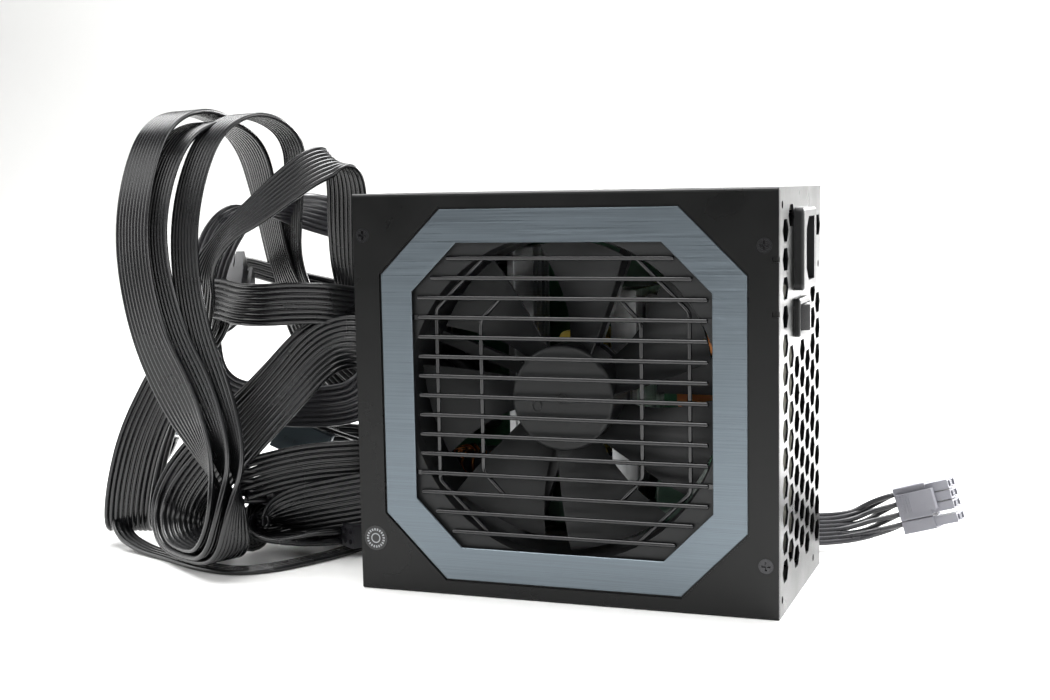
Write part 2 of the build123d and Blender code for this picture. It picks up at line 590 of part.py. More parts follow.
def switch_rocker():
    """A shallow V on top and round ends that keep their gap as it rocks on its two pins."""
    disc = Pos(0, 0, 0) * Cylinder(ROCKER_R, 2 * ROCKER_HALF_Z)
    end_y = 7.1
    end_x = math.sqrt(ROCKER_R**2 - end_y**2)
    top = Polyline((end_x + 0.3, -end_y - 0.4), (3.2, 0), (end_x + 0.3, end_y + 0.4), (12, 12), (12, -12), close=True)
    body = disc - extrude(Pos(0, 0, -10) * make_face(top), amount=20)
    body -= block((-12, -3.0), (-12, 12), (-10, 10))
    upper = body.edges().filter_by(Axis.Z).group_by(Axis.X)[-1]
    body = fillet(upper, 0.5)
    body += rod_z(0, 0, ROCKER_PIN_R, -ROCKER_HALF_Z - 0.9, ROCKER_HALF_Z + 0.9)
    for y in (-4.2, 4.2):
        slot = block((1.5, 6), (y - 0.35, y + 0.35), (-2.0, 2.0))
        if y < 0:
            body -= slot
        else:
            ring = Pos(4.6, y, 0) * Rot(0, 90, 0) * (Cylinder(1.9, 2.0) - Cylinder(1.3, 2.4))
            body -= ring
    return Pos(ROCKER_PIVOT_X, SWITCH_Y, SWITCH_Z) * Rot(0, 0, ROCKER_TILT) * body


def ac_leads():
    """Insulated leads inside the case: inlet to switch, switch to board, neutral to board and earth to the case."""
    tab_x = SOCKET_FLOOR_X - 9.5
    live, neutral, earth = pin_places()
    switch_x = HALF_X - 22.0
    first, second, third = terminal_places()
    board_top = BOARD_Y[0]
    half_tab = 2.4
    half_terminal = 0.4
    routes = [
        [(tab_x, live[0] + half_tab, live[1]), (tab_x, live[0] + half_tab + 6, live[1]),
         (tab_x - 4, live[0] + half_tab + 12, live[1] - 7), (switch_x - 1, third + 8, SWITCH_Z + 4),
         (switch_x, third + half_terminal, SWITCH_Z)],
        [(switch_x, second + half_terminal, SWITCH_Z - 1), (switch_x - 3, second + 4.5, SWITCH_Z - 4),
         (switch_x - 4, second + 12, SWITCH_Z - 8), (switch_x - 5, 27.0, SWITCH_Z - 8),
         (switch_x - 5, board_top, SWITCH_Z - 8)],
        [(tab_x, neutral[0] + half_tab, neutral[1]), (tab_x - 1, neutral[0] + half_tab + 7, neutral[1]),
         (tab_x - 5, 22.0, neutral[1] - 2), (tab_x - 6, 29.0, neutral[1] - 3), (tab_x - 6, board_top, neutral[1] - 3)],
    ]
    return [tube(route, 1.5) for route in routes]


# ---------------------------------------------------------------- cable outlet

def outlet_sketch(grow):
    size = (OUTLET_HOLE[0] + 2 * grow, OUTLET_HOLE[1] + 2 * grow)
    return Pos(OUTLET_Y, OUTLET_Z) * RectangleRounded(*size, 7.0 + grow)


def cable_grommet():
    """A plastic bushing snapped into the outlet: a lip outside, a lip inside and a groove round the sheet."""
    outside = prism_x(outlet_sketch(GROMMET_LIP), -HALF_X - 2.0, -HALF_X)
    outside = fillet(outside.edges().group_by(Axis.X)[0], 1.2)
    neck = prism_x(outlet_sketch(-0.2), -HALF_X - 1.0, -REAR_IN_X + 3.0)
    inside = prism_x(outlet_sketch(1.2), -REAR_IN_X, -REAR_IN_X + 2.0)
    bore = prism_x(outlet_sketch(-GROMMET_WALL), -HALF_X - 3, -HALF_X + 5)
    return outside + neck + inside - bore


def output_harness():
    """The outgoing leads inside the case, from the board's edge up into the outlet."""
    bundles = []
    rows = [(z, y) for z in (-8.0, 0.0, 8.0) for y in (-3.4, 3.4)]
    for index, (dz, dy) in enumerate(rows):
        board_x = -62.0 + 6.5 * (index % 2)
        board_z = OUTLET_Z - 12.0 + 3.0 * dz
        points = [(board_x, BOARD_Y[0], board_z), (board_x, 27.0 - 2 * (index % 2), board_z),
                  (board_x - 4.0, OUTLET_Y + dy, OUTLET_Z + dz), (-HALF_X - 2.0, OUTLET_Y + dy, OUTLET_Z + dz)]
        bundles.append(tube(points, 3.0))
    return bundles


# ---------------------------------------------------------------- plugs on the output cables

PIN_PITCH = 4.2
PLUG_BACK, PLUG_FRONT = 14.0, 23.5
PLUG_MARGIN = 0.6
LATCH_PIVOT = (8.75, 6.4)
LATCH_SPAN = (1.5, 17.5)
LATCH_HALF_WIDTH = 4.2


def placed(origin, along, up, shape):
    """A plug drawn with +X as its mating direction and +Z as its latch side, put where it lies."""
    frame = Plane(origin=origin, x_dir=along, z_dir=Vector(*along).cross(Vector(*up)).cross(Vector(*along)))
    return frame.location * shape


def power_plug(columns, rows=2, latch="moulded"):
    """A crimp-terminal plug: a solid back with a round hole for each wire, and a square cell for each terminal."""
    half_y = columns * PIN_PITCH / 2 + PLUG_MARGIN
    half_z = rows * PIN_PITCH / 2 + PLUG_MARGIN
    body = block((0, PLUG_BACK), (-half_y, half_y), (-half_z, half_z))
    body = fillet(body.edges().filter_by(Axis.X), 0.5)
    cell = Box(PLUG_FRONT - PLUG_BACK + 0.5, 3.7, 3.7)
    centre_x = (PLUG_FRONT + PLUG_BACK - 0.5) / 2
    for column in range(columns):
        for row in range(rows):
            y = (column - (columns - 1) / 2) * PIN_PITCH
            z = (row - (rows - 1) / 2) * PIN_PITCH
            body += Pos(centre_x, y, z) * cell
            body -= rod_x(y, z, 1.25, -1, 7.0)
            body -= block((PLUG_FRONT - 7.0, PLUG_FRONT + 1), (y - 1.15, y + 1.15), (z - 1.15, z + 1.15))
    if latch == "hinged":
        body += block((LATCH_PIVOT[0] - 0.8, LATCH_PIVOT[0] + 0.8), (-LATCH_HALF_WIDTH + 0.8, LATCH_HALF_WIDTH - 0.8),
                      (half_z - 0.1, LATCH_PIVOT[1] - 0.7))
    elif latch == "moulded":
        body += latch_lever() + block((LATCH_PIVOT[0] - 0.8, LATCH_PIVOT[0] + 0.8),
                                      (-LATCH_HALF_WIDTH + 0.8, LATCH_HALF_WIDTH - 0.8), (half_z - 0.1, LATCH_PIVOT[1]))
    return body


def latch_lever():
    """The plug's latch: a broad lever over the pivot post, with finger ridges behind and a hook in front."""
    low, high = LATCH_PIVOT[1] - 0.4, LATCH_PIVOT[1] + 1.0
    lever = block(LATCH_SPAN, (-LATCH_HALF_WIDTH, LATCH_HALF_WIDTH), (low, high))
    lever = fillet(lever.edges().filter_by(Axis.Y).group_by(Axis.Z)[-1], 0.5)
    lever += block((LATCH_SPAN[1] - 2.0, LATCH_SPAN[1]), (-LATCH_HALF_WIDTH, LATCH_HALF_WIDTH), (low - 0.7, low + 0.1))
    for index in range(4):
        x = LATCH_SPAN[0] + 1.0 + 1.3 * index
        lever += block((x, x + 0.5), (-LATCH_HALF_WIDTH + 0.4, LATCH_HALF_WIDTH - 0.4), (high - 0.1, high + 0.3))
    return lever


def drive_plug():
    """A flat 15-contact drive power plug: an L-shaped slot in front, and a clamp cap with notches behind."""
    body = block((0, 15.0), (-12.0, 12.0), (-3.2, 3.2))
    body = fillet(body.edges().filter_by(Axis.X), 0.6)
    body += block((0.6, 8.0), (-11.0, 11.0), (3.1, 4.4))
    for index in range(5):
        y = -8.6 + 4.3 * index
        body += block((7.0, 9.6), (y - 1.1, y + 1.1), (3.0, 4.0))
        body -= block((-1, 4.0), (y - 1.0, y + 1.0), (-1.0, 1.0))
    body -= block((9.0, 16.0), (-10.4, 10.4), (-1.2, 1.2))
    return body - block((9.0, 16.0), (-10.4, -8.0), (-2.2, 0))


# Each plug: its wire-side face, mating direction and latch direction
ATX_PLUG_AT = ((-126.0, 12.0, 8.6), (0.54, 0.84, 0.0), (0.0, 0.0, 1.0))
EPS_PLUG_AT = ((-141.0, -6.0, 30.0), (0.54, 0.83, -0.08), (-0.84, 0.54, 0.0))
GRAPHICS_PLUG_AT = ((-170.0, 20.0, 103.0), (-0.25, 0.65, 0.72), (0.94, 0.34, 0.0))
SPARE_PLUG_AT = ((-186.0, 16.0, 88.0), (-0.25, 0.20, -0.95), (0.70, -0.70, 0.0))
DRIVE_PLUG_AT = ((-142.0, 33.0, 49.0), (-0.38, -0.24, -0.90), (0.34, -0.93, 0.10))
REAR_DRIVE_PLUG_AT = ((-203.0, 22.0, 44.0), (0.10, 0.20, 0.97), (0.90, -0.40, 0.0))
SIDE_PLUG_AT = ((108.0, 80.5, 16.0), (0.92, -0.25, 0.30), (-0.25, -0.95, 0.0))
SIDE_COLUMNS = 3


def side_plug_frame(column_shift):
    """The rear cable's plug is a block of three columns and, beside it, a loose block of one column."""
    origin, along, up = SIDE_PLUG_AT
    normal = Vector(*along).cross(Vector(*up)).cross(Vector(*along)).normalized()
    across = normal.cross(Vector(*along)).normalized()
    return tuple(Vector(*origin) + across * (column_shift * PIN_PITCH)), along, up


GRAPHICS_BLOCK_AT = side_plug_frame(0.5)
GRAPHICS_EXTRA_AT = side_plug_frame(-1.83)


# ---------------------------------------------------------------- output cables outside the case

RIB_PITCH, RIBBON_THICK = 2.4, 2.2

# The flat four-core cable that lies on the surface in front of the outlet, and the cable behind the case
FLOOR_ROUTE = [(-104.0, 20.0, 1.2), (-110.0, 8.0, 1.2), (-120.0, -18.0, 1.2), (-134.0, -39.0, 1.2), (-156.0, -36.0, 1.2),
               (-176.0, -25.0, 1.2), (-196.0, -17.0, 1.2)]
REAR_ROUTE = [(-110.0, 53.0, 130.0), (-92.0, 52.0, 127.0), (-70.0, 50.0, 108.0), (-40.0, 49.5, 84.0), (-10.0, 49.5, 58.0),
              (18.0, 50.5, 34.0), (44.0, 54.0, 16.0), (68.0, 64.0, 8.0), (90.0, 76.0, 9.0), (108.0, 80.5, 16.0)]
REAR_CABLE_R = 4.8


def floor_ribbon():
    """Flat, four cores wide, lying on the surface."""
    radii = bend_radii(FLOOR_ROUTE)
    print("floor ribbon bend radii", [round(radius, 1) for radius in radii])
    path = FilletPolyline(*FLOOR_ROUTE, radius=radii)
    section = Plane(origin=path @ 0, x_dir=(0, 0, 1), z_dir=path % 0) * Rectangle(RIBBON_THICK, 4 * RIB_PITCH)
    ribbon = sweep(section, path=path)
    print("floor ribbon volume over section x length", round(ribbon.volume / (RIBBON_THICK * 4 * RIB_PITCH * path.length), 4))
    return ribbon


def rear_cable():
    """The cable that runs down behind the case and out past its rear panel."""
    print("rear cable bend radii", [round(radius, 1) for radius in bend_radii(REAR_ROUTE)])
    path = FilletPolyline(*REAR_ROUTE, radius=bend_radii(REAR_ROUTE))
    cable = tube(REAR_ROUTE, REAR_CABLE_R)
    print("rear cable volume over section x length", round(cable.volume / (math.pi * REAR_CABLE_R**2 * path.length), 4))
    return cable


# The hank of cables beside the outlet: its loops stand on edge, in an upright plane that is turned from the case
HANK_CENTRE = (-172.0, 9.0)
HANK_TURN = 66.0
LOOP_HALF, LOOP_Z = 49.0, (0.0, 187.0)
LOOP_HOLE_HALF, LOOP_HOLE_Z = 24.0, (70.0, 160.0)
HANK_SIDES = (-33.0, 36.0)


PLUGS_IN_HANK = ((ATX_PLUG_AT, 12), (EPS_PLUG_AT, 4), (GRAPHICS_PLUG_AT, 4), (SPARE_PLUG_AT, 4))


def plane_strip():
    """Room under the hank for the flat cable that lies on the surface."""
    path = Polyline(*[(x, y, 0) for x, y, _ in FLOOR_ROUTE])
    section = Plane(origin=path @ 0, x_dir=(0, 0, 1), z_dir=path % 0) * Rectangle(6.4, 4 * RIB_PITCH + 1.5)
    return sweep(section, path=path, transition=Transition.RIGHT)


def cable_hank():
    """Outer shape of the looped cables, their connector ends and the neck where they leave the case."""
    plane = Plane(origin=(*HANK_CENTRE, 0), x_dir=(math.cos(math.radians(HANK_TURN)), math.sin(math.radians(HANK_TURN)), 0),
                  z_dir=(math.sin(math.radians(HANK_TURN)), -math.cos(math.radians(HANK_TURN)), 0))
    middle_z = sum(LOOP_Z) / 2
    outline = Pos(0, middle_z) * RectangleRounded(2 * LOOP_HALF, LOOP_Z[1] - LOOP_Z[0], 46.0)
    hole = Pos(0, sum(LOOP_HOLE_Z) / 2) * RectangleRounded(2 * LOOP_HOLE_HALF, LOOP_HOLE_Z[1] - LOOP_HOLE_Z[0], 22.0)
    loops = extrude(plane.offset(HANK_SIDES[0]) * (outline - hole), amount=HANK_SIDES[1] - HANK_SIDES[0])
    neck = prism_x(outlet_sketch(-GROMMET_WALL - 0.4), -100.0, -HALF_X - 2.0)
    crossing = block((-150.0, -92.0), (-18.0, 30.0), (30.0, 112.0))
    crossing = fillet(crossing.edges().filter_by(Axis.Y), 12.0)
    ends = block((-150.0, -86.0), (-26.0, 56.0), (0.0, 60.0))
    ends = fillet(ends.edges().filter_by(Axis.Z), 10.0)
    rise = block((-124.0, -92.0), (-12.0, 22.0), (80.0, 168.0))
    rise = fillet(rise.edges().filter_by(Axis.Z), 8.0)
    back = block((-150.0, -110.0), (26.0, 58.0), (100.0, 160.0))
    hank = loops.fuse(neck, crossing, ends, rise, back)
    for place, columns in PLUGS_IN_HANK:
        half = columns * PIN_PITCH / 2 + PLUG_MARGIN + 0.4
        hank -= placed(*place, block((0, 60.0), (-half, half), (-5.6, 8.4)))
    for place in (DRIVE_PLUG_AT, REAR_DRIVE_PLUG_AT):
        hank -= placed(*place, block((0, 40.0), (-12.5, 12.5), (-3.8, 5.0)))
    hank -= block((-200.0, -90.0), (-60.0, 40.0), (-1.0, 3.0)) & plane_strip()
    return max(hank.solids(), key=lambda solid: solid.volume)


MAIN_TRANSFORMER = wound_core(-8.0, 80.0, 30.0, 30.0, 34.0)
STANDBY_TRANSFORMER = wound_core(-6.0, 38.0, 24.0, 20.0, 24.0)
PFC_CHOKE = wound_core(41.0, 80.0, 30.0, 28.0, 40.0)

NODES = {
    "fan_cover": fan_cover(),
    "base_shell": base_shell(),
    "trim_ring": trim_ring(),
    "cover_screws": [cover_screw(x, z) for x, z in COVER_SCREWS],
    "seal_sticker": seal_sticker(),
    "wire_grille": wire_grille(),
    "fan_frame": fan_frame(),
    "fan_rotor": fan_rotor(),
    "fan_magnet_ring": fan_magnet_ring(),
    "fan_shaft": fan_shaft(),
    "fan_bearing": fan_bearing(),
    "fan_stator": fan_stator(),
    "fan_windings": fan_windings(),
    "fan_circuit_board": fan_circuit_board(),
    "fan_screws": [fan_screw(x, z) for x, z in fan_corners()],
    "main_board": main_board(),
    "insulation_sheet": insulation_sheet(),
    "board_standoffs": board_standoffs(),
    "board_screws": board_screws(),
    "ac_inlet": ac_inlet(),
    "inlet_pins": inlet_pins(),
    "switch_housing": switch_housing(),
    "switch_terminals": switch_terminals(),
    "switch_rocker": switch_rocker(),
    "ac_leads": ac_leads(),
    "cable_grommet": cable_grommet(),
    "output_harness": output_harness(),
    "heatsink_primary": heatsink(17.0, 14.0, 112.0, -1, 40.0),
    "heatsink_secondary": heatsink(-33.0, 26.0, 128.0, 1, 38.0),
    "power_transistors": [transistor(18.25, z, 1, 12.0) for z in (24.0, 40.0, 58.0)]
    + [transistor(-34.25, z, -1, 12.0) for z in (40.0, 58.0, 76.0, 116.0)],
    "bridge_rectifier": bridge_rectifier(),
    "transformer_core": MAIN_TRANSFORMER[0],
    "transformer_winding": MAIN_TRANSFORMER[1],
    "standby_core": STANDBY_TRANSFORMER[0],
    "standby_winding": STANDBY_TRANSFORMER[1],
    "pfc_choke_core": PFC_CHOKE[0],
    "pfc_choke_winding": PFC_CHOKE[1],
    "bulk_capacitor": capacitor(40.0, 34.0, 15.0, 41.0),
    "output_capacitors": output_capacitors(),
    "output_choke_core": toroid(-54.0, 40.0, 9.5, 4.0),
    "output_choke_winding": toroid_turns(-54.0, 40.0, 9.5, 4.0, 15, 0.7),
    "x_capacitor": x_capacitor(),
    "cable_hank": cable_hank(),
    "floor_ribbon": floor_ribbon(),
    "rear_cable": rear_cable(),
    "atx_plug": placed(*ATX_PLUG_AT, power_plug(12)),
    "eps_plug": placed(*EPS_PLUG_AT, power_plug(4)),
    "graphics_plug": placed(*GRAPHICS_PLUG_AT, power_plug(4)),
    "spare_graphics_plug": placed(*SPARE_PLUG_AT, power_plug(4)),
    "rear_cable_plug": placed(*GRAPHICS_BLOCK_AT, power_plug(SIDE_COLUMNS, latch="hinged")),
    "rear_cable_latch": placed(*GRAPHICS_BLOCK_AT, latch_lever()),
    "rear_cable_extra_plug": placed(*GRAPHICS_EXTRA_AT, power_plug(1, latch=None)),
    "drive_plug": placed(*DRIVE_PLUG_AT, drive_plug()),
    "rear_drive_plug": placed(*REAR_DRIVE_PLUG_AT, drive_plug()),
}

for name, shape in NODES.items():
    solid = Compound(children=shape) if isinstance(shape, list) else shape
    export_step(solid, f"parts/{name}.step")
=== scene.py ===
"""A desktop power supply unit beside its looped cables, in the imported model's frame, in metres."""

import json
import math

import bmesh
import bpy
from mathutils import Matrix, Vector


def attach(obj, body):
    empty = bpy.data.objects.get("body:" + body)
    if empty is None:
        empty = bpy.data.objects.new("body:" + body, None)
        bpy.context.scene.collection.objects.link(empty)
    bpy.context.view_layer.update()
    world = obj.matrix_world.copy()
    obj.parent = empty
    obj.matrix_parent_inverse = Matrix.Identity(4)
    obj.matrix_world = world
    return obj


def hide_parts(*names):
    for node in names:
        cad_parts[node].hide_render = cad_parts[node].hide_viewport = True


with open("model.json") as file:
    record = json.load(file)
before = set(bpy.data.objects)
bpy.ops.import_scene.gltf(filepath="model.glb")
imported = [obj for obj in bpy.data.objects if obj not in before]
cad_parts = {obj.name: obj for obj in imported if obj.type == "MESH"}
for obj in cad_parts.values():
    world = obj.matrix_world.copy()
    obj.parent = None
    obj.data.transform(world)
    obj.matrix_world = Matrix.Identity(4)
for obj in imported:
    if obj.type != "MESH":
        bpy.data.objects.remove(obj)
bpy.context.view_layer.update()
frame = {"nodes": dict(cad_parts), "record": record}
MM = 0.001

# The round seal on the fan side: its x and z, then the radius and half width of each pale ring.
SEAL_AT = (-0.0740, 0.0198)
OUTER_RING, INNER_RING = (0.0033, 0.00045), (0.0017, 0.00022)
SEAL_MARKS = 20.0  # short marks round the outer ring
MARK_LEVEL = -0.2  # a mark shows where its wave is above this

# ---------------------------------------------------------------- camera, floor and light

CAMERA_AT = Vector((177.8, -558.8, 152.0)) * MM
CAMERA_RIGHT = Vector((0.9388, 0.3438, -0.0179))
CAMERA_FORWARD = Vector((-0.3437, 0.9329, -0.1068))
LENS, SENSOR = 52.44, 36.0
WORLD_STRENGTH = 0.66
WORLD_LEVELS = (0.12, 1.0)  # the room is dim in front of the object and bright behind it
WORLD_RAMP = (0.05, 0.55)  # where the change starts and ends, from 0 in front to 1 behind


def add_camera():
    data = bpy.data.cameras.new("camera")
    data.lens, data.sensor_width = LENS, SENSOR
    data.clip_start, data.clip_end = 0.01, 20
    camera = bpy.data.objects.new("camera", data)
    back = -CAMERA_FORWARD.normalized()
    right = CAMERA_RIGHT.normalized()
    up = back.cross(right)
    turn = Matrix((right, up, back)).transposed()
    camera.matrix_world = Matrix.Translation(CAMERA_AT) @ turn.to_4x4()
    bpy.context.scene.collection.objects.link(camera)
    bpy.context.scene.camera = camera


def add_floor():
    """A sheet of white board that curves up far behind the object."""
    mesh = bpy.data.meshes.new("floor")
    build = bmesh.new()
    rows = [(-1.6, 0.0), (1.0, 0.0)]
    for turn in (math.radians(9 * i) for i in range(1, 11)):
        rows.append((1.0 + 0.6 * math.sin(turn), 0.6 - 0.6 * math.cos(turn)))
    rows.append((1.6, 2.4))
    edges = [[build.verts.new((x, y, z)) for x in (-3.0, 3.0)] for y, z in rows]
    for near, far in zip(edges, edges[1:]):
        build.faces.new((near[0], near[1], far[1], far[0])).smooth = True
    build.to_mesh(mesh)
    floor = bpy.data.objects.new("floor", mesh)
    bpy.context.scene.collection.objects.link(floor)
    board = painted("white_board", (0.80, 0.80, 0.79), 0.6, grain=500, bump=0.02, vary=0.01, wear=3)
    floor.data.materials.append(board)


def add_light(name, place, aim, size, power, colour=(1, 1, 1)):
    data = bpy.data.lights.new(name, "AREA")
    data.shape, data.size, data.size_y = "RECTANGLE", *size
    data.energy, data.color = power, colour
    light = bpy.data.objects.new(name, data)
    light.location = place
    light.rotation_euler = (Vector(aim) - Vector(place)).to_track_quat("-Z", "Y").to_euler()
    bpy.context.scene.collection.objects.link(light)


def add_lights():
    world = bpy.data.worlds.new("world")
    world.use_nodes = True
    tree = world.node_tree
    tree.nodes["Background"].inputs["Strength"].default_value = WORLD_STRENGTH
    kinds = ("ShaderNodeTexCoord", "ShaderNodeSeparateXYZ", "ShaderNodeValToRGB")
    place, parts, ramp = (tree.nodes.new(kind) for kind in kinds)
    for element, start, level in zip(ramp.color_ramp.elements, WORLD_RAMP, WORLD_LEVELS):
        element.position = start
        element.color = (level, level, level, 1)
    add_half = tree.nodes.new("ShaderNodeMath")
    add_half.inputs[1].default_value = 0.5
    tree.links.new(place.outputs["Generated"], parts.inputs["Vector"])
    tree.links.new(parts.outputs["Y"], add_half.inputs[0])
    tree.links.new(add_half.outputs["Value"], ramp.inputs["Fac"])
    tree.links.new(ramp.outputs["Color"], tree.nodes["Background"].inputs["Color"])
    bpy.context.scene.world = world
    bpy.context.scene.view_settings.view_transform = "Standard"
    add_light("overhead", (-0.25, 0.10, 1.3), (-0.05, 0.0, 0.05), (1.0, 0.8), 30)
    add_light("left", (-1.3, -0.4, 0.5), (-0.1, 0, 0.06), (0.8, 0.8), 6)
    add_light("right", (1.3, -0.1, 0.6), (0.05, 0.0, 0.08), (0.7, 0.9), 12)
    add_light("behind_right", (0.55, 1.7, 0.45), (0.08, 0.0, 0.08), (0.9, 0.9), 60)
    add_light("floor_glow", (0.50, 0.85, 0.50), (0.30, 0.50, 0.0), (0.5, 0.5), 36)
    add_light("backdrop", (-0.9, 0.4, 1.5), (-0.9, 1.5, 0.4), (0.8, 0.8), 16)
    add_light("front_floor", (-0.05, -0.45, 0.35), (-0.05, -0.2, 0.0), (0.9, 0.15), 1.5)


# ---------------------------------------------------------------- materials


class Nodes:
    """A material's node tree, with its principled shader at hand."""

    def __init__(self, name):
        self.material = bpy.data.materials.new(name)
        self.material.use_nodes = True
        self.tree = self.material.node_tree
        self.shader = self.tree.nodes["Principled BSDF"]

    def add(self, kind, **values):
        node = self.tree.nodes.new(kind)
        for key, value in values.items():
            if key in node.inputs:
                node.inputs[key].default_value = value
            else:
                setattr(node, key, value)
        return node

    def link(self, output, socket):
        self.tree.links.new(output, socket)

    def noise(self, scale, stretch=(1, 1, 1), detail=4.0):
        """Noise in the object's own coordinates, in turns per metre."""
        place = self.add("ShaderNodeTexCoord")
        mapping = self.add("ShaderNodeMapping")
        mapping.inputs["Scale"].default_value = stretch
        self.link(place.outputs["Object"], mapping.inputs["Vector"])
        noise = self.add("ShaderNodeTexNoise", Scale=scale, Detail=detail)
        self.link(mapping.outputs["Vector"], noise.inputs["Vector"])
        return noise

    def ramp(self, source, low, high, start=0.3, end=0.7):
        ramp = self.add("ShaderNodeValToRGB")
        ramp.color_ramp.elements[0].position, ramp.color_ramp.elements[1].position = start, end
        ramp.color_ramp.elements[0].color, ramp.color_ramp.elements[1].color = (*low, 1), (*high, 1)
        self.link(source, ramp.inputs["Fac"])
        return ramp

    def bump(self, source, strength, distance=0.0002):
        bump = self.add("ShaderNodeBump", Strength=strength, Distance=distance)
        self.link(source, bump.inputs["Height"])
        self.link(bump.outputs["Normal"], self.shader.inputs["Normal"])


def painted(name, colour, roughness, metallic=0.0, grain=1500, bump=0.15, vary=0.12, wear=40, coat=0.0,
            stretch=(1, 1, 1), specular=0.5):
    """A surface with a fine grain, slow changes of shade and uneven gloss."""
    nodes = Nodes(name)
    fine = nodes.noise(grain, stretch)
    slow = nodes.noise(wear, stretch, 6.0)
    low = tuple(max(0.0, c * (1 - vary)) for c in colour)
    high = tuple(min(1.0, c * (1 + vary)) for c in colour)
    shade = nodes.ramp(slow.outputs["Fac"], low, high)
    nodes.link(shade.outputs["Color"], nodes.shader.inputs["Base Color"])
    rough = nodes.ramp(slow.outputs["Fac"], (roughness * 0.85,) * 3, (min(1.0, roughness * 1.15),) * 3)
    nodes.link(rough.outputs["Color"], nodes.shader.inputs["Roughness"])
    nodes.shader.inputs["Metallic"].default_value = metallic
    nodes.shader.inputs["Coat Weight"].default_value = coat
    nodes.shader.inputs["Specular IOR Level"].default_value = specular
    nodes.bump(fine.outputs["Fac"], bump)
    return nodes.material


def brushed(name, colour, roughness, stretch, contrast=0.26):
    """Metal with fine straight brush lines, long along the axis whose stretch is smallest."""
    nodes = Nodes(name)
    lines = nodes.noise(100, stretch, 8.0)
    low = tuple(c * (1 - contrast) for c in colour)
    high = tuple(min(1.0, c * (1 + contrast)) for c in colour)
    shade = nodes.ramp(lines.outputs["Fac"], low, high)
    nodes.link(shade.outputs["Color"], nodes.shader.inputs["Base Color"])
    rough = nodes.ramp(lines.outputs["Fac"], (roughness * 0.8,) * 3, (roughness * 1.3,) * 3)
    nodes.link(rough.outputs["Color"], nodes.shader.inputs["Roughness"])
    nodes.shader.inputs["Metallic"].default_value = 1.0
    nodes.bump(lines.outputs["Fac"], 0.25, 0.0001)
    return nodes.material


def ringed(name):
    """A dark round film with two pale rings, the outer one cut into short marks."""
    nodes = Nodes(name)

    def maths(operation, first, second=0.0):
        node = nodes.add("ShaderNodeMath", operation=operation)
        for socket, value in zip(node.inputs, (first, second)):
            if isinstance(value, (int, float)):
                socket.default_value = value
            else:
                nodes.link(value, socket)
        return node.outputs["Value"]

    parts = nodes.add("ShaderNodeSeparateXYZ")
    nodes.link(nodes.add("ShaderNodeTexCoord").outputs["Object"], parts.inputs["Vector"])
    across = maths("SUBTRACT", parts.outputs["X"], SEAL_AT[0])
    up = maths("SUBTRACT", parts.outputs["Z"], SEAL_AT[1])
    radius = maths("SQRT", maths("ADD", maths("MULTIPLY", across, across), maths("MULTIPLY", up, up)))
    outer, inner = (maths("LESS_THAN", maths("ABSOLUTE", maths("SUBTRACT", radius, middle)), half_width)
                    for middle, half_width in (OUTER_RING, INNER_RING))
    wave = maths("SINE", maths("MULTIPLY", maths("ARCTAN2", up, across), SEAL_MARKS))
    marks = maths("GREATER_THAN", wave, MARK_LEVEL)
    shown = maths("MAXIMUM", maths("MULTIPLY", outer, marks), inner)
    ramp = nodes.ramp(shown, (0.010, 0.010, 0.011), (0.30, 0.31, 0.32), 0.0, 1.0)
    nodes.link(ramp.outputs["Color"], nodes.shader.inputs["Base Color"])
    nodes.shader.inputs["Roughness"].default_value = 0.35
    nodes.bump(nodes.noise(1200).outputs["Fac"], 0.05)
    return nodes.material


